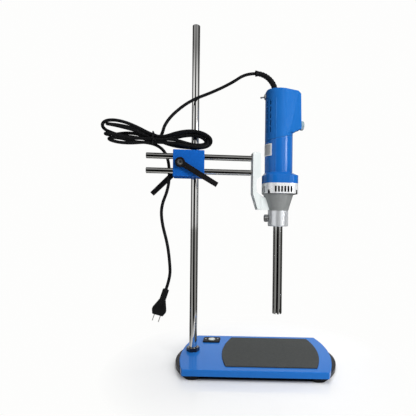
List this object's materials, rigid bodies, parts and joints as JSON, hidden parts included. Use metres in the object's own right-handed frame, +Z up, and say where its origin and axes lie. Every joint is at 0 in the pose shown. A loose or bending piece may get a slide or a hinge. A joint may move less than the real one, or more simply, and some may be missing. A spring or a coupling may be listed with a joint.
{
  "type": "rotor stator homogenizer",
  "caption": "Laboratory rotor-stator homogenizer: a motor with a long dispersing tool, held by a clamp and arm on a plate stand with a tall rod.",
  "frame": {"origin": "stand rod axis at bench level, on the underside of the left foot rail", "axes": "+X along the base from the stand rod towards the work mat, +Y to the back of the base, +Z up along the stand rod; at rest the head is swung 10 degrees about +Z"},
  "size_m": [0.4751, 0.2, 0.708],
  "materials": {
    "blue_gloss_paint": "gloss",
    "blue_satin_paint": "satin",
    "blue_plastic": "gloss",
    "black_rubber": "matte",
    "grey_mat": "matte",
    "black_plastic": "matte",
    "vial_glass": "gloss",
    "chrome": "mirror",
    "polished_steel": "polished",
    "dark_steel": "satin",
    "silver_casting": "satin",
    "bright_casting": "satin",
    "label_foil": "satin",
    "pale_plastic": "satin",
    "ptfe": "matte"
  },
  "bodies": {
    "base": {"base_plate": "blue_gloss_paint", "left_foot_rail": "black_rubber", "right_foot_rail": "black_rubber", "foot_screw_1": "polished_steel", "foot_screw_2": "polished_steel", "foot_screw_3": "polished_steel", "foot_screw_4": "polished_steel", "work_mat": "grey_mat", "level_holder": "black_plastic", "level_vial": "vial_glass", "level_screw_1": "chrome", "level_screw_2": "chrome", "stand_rod": "chrome", "rod_jam_nut": "dark_steel"},
    "height_carrier": {"rod_bush": "ptfe"},
    "clamp_head": {"clamp_block": "blue_satin_paint", "cord_hank": "black_rubber", "cord_tie": "black_plastic", "cord_drop": "black_rubber", "plug_body": "black_plastic", "plug_blade_1": "polished_steel", "plug_blade_2": "polished_steel"},
    "front_clamp_lever": {"front_lever": "black_plastic", "front_lever_screw": "polished_steel"},
    "rear_clamp_lever": {"rear_lever": "black_plastic", "rear_lever_screw": "polished_steel"},
    "motor_arm": {"lower_arm_rod": "polished_steel", "upper_arm_rod": "polished_steel", "motor_bracket": "silver_casting", "bracket_screw_1": "dark_steel", "bracket_screw_2": "dark_steel", "arm_grub_screw_1": "dark_steel", "arm_grub_screw_2": "dark_steel", "nose_cone": "silver_casting", "vent_ring": "bright_casting", "corner_screw_1": "polished_steel", "corner_screw_2": "polished_steel", "corner_screw_3": "polished_steel", "corner_screw_4": "polished_steel", "motor_housing": "blue_plastic", "motor_cover": "blue_plastic", "rating_plate": "label_foil", "switch_bushing": "chrome", "lower_motor_bearing": "polished_steel", "upper_motor_bearing": "polished_steel", "field_core": "dark_steel", "stator_tube": "polished_steel", "lower_tool_bearing": "ptfe", "upper_tool_bearing": "ptfe", "cable_boot": "black_rubber", "cord_top_run": "black_rubber"},
    "tool_lock": {"lock_screw": "chrome"},
    "power_switch": {"switch_toggle": "chrome"},
    "speed_control": {"speed_dial": "pale_plastic"},
    "rotor": {"armature": "polished_steel", "cooling_fan": "pale_plastic", "drive_coupling": "polished_steel", "tool_shaft": "polished_steel", "rotor_head": "polished_steel"}
  },
  "joints": [
    {"name": "height_slide", "type": "slide", "parent": "base", "child": "height_carrier", "axis": [0, 0, 1], "range_m": [-0.065, 0.24]},
    {"name": "head_swing", "type": "hinge", "parent": "height_carrier", "child": "clamp_head", "pos_m": [0, 0, 0.412], "axis": [0, 0, 1], "range_deg": [-90, 90]},
    {"name": "arm_slide", "type": "slide", "parent": "clamp_head", "child": "motor_arm", "axis": [0.9848, 0.1736, 0], "range_m": [-0.06, 0.04], "deforming": ["cord_top_run"]},
    {"name": "front_lever_turn", "type": "hinge", "parent": "clamp_head", "child": "front_clamp_lever", "pos_m": [-0.02295, -0.04263, 0.412], "axis": [-0.1736, 0.9848, 0], "range_deg": [-90, 90]},
    {"name": "rear_lever_turn", "type": "hinge", "parent": "clamp_head", "child": "rear_clamp_lever", "pos_m": [-0.03267, 0.01252, 0.412], "axis": [-0.1736, 0.9848, 0], "range_deg": [-90, 90]},
    {"name": "lock_screw_turn", "type": "hinge", "parent": "motor_arm", "child": "tool_lock", "pos_m": [0.15597, 0.00516, 0.302], "axis": [0.9848, 0.1736, 0], "range_deg": [-180, 180]},
    {"name": "switch_flip", "type": "hinge", "parent": "motor_arm", "child": "power_switch", "pos_m": [0.1481, 0.00377, 0.5585], "axis": [-0.1736, 0.9848, 0], "range_deg": [0, 24]},
    {"name": "speed_dial_turn", "type": "hinge", "parent": "motor_arm", "child": "speed_control", "pos_m": [0.22373, 0.01711, 0.501], "axis": [0.9848, 0.1736, 0], "range_deg": [-135, 135]},
    {"name": "rotor_spin", "type": "hinge", "parent": "motor_arm", "child": "rotor", "pos_m": [0.17715, 0.0089, 0.0995], "axis": [0, 0, 1], "continuous": true}
  ]
}
